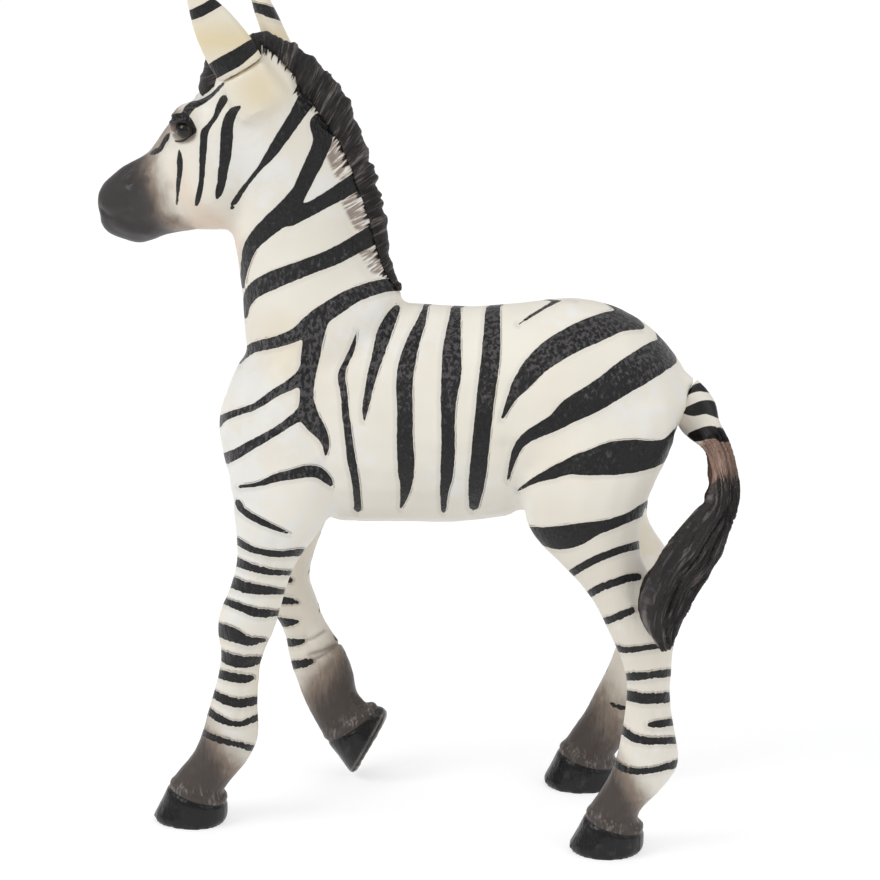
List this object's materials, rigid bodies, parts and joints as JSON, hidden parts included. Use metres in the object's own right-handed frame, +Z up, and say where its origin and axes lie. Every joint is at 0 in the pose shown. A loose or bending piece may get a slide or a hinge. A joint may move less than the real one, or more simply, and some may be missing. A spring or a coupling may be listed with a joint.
{
  "type": "toy wild animal figure",
  "caption": "Hand-painted hard PVC figure of a walking zebra foal, right foreleg lifted, glued together from separate castings.",
  "frame": {"origin": "middle of the bounding box's footprint, on the surface that the hooves stand on", "axes": "+Z up, head toward -X, tail toward +X, the animal's left side toward -Y"},
  "size_m": [0.0662, 0.0264, 0.0861],
  "materials": {
    "painted_body": "satin cream paint with near-black engraved stripes",
    "painted_legs": "satin cream paint with dark bands, grey-brown pasterns and glossy near-black hooves",
    "painted_hair": "dull near-black paint over moulded hair",
    "painted_tail": "brown fading to charcoal over moulded hair, banded at the root"
  },
  "bodies": {
    "root": {"trunk": "painted_body", "neck_and_head": "painted_body", "mane": "painted_hair", "left_ear": "painted_body", "right_ear": "painted_body", "tail": "painted_tail", "left_foreleg": "painted_legs", "right_foreleg": "painted_legs", "left_hind_leg": "painted_legs", "right_hind_leg": "painted_legs"}
  },
  "joints": []
}
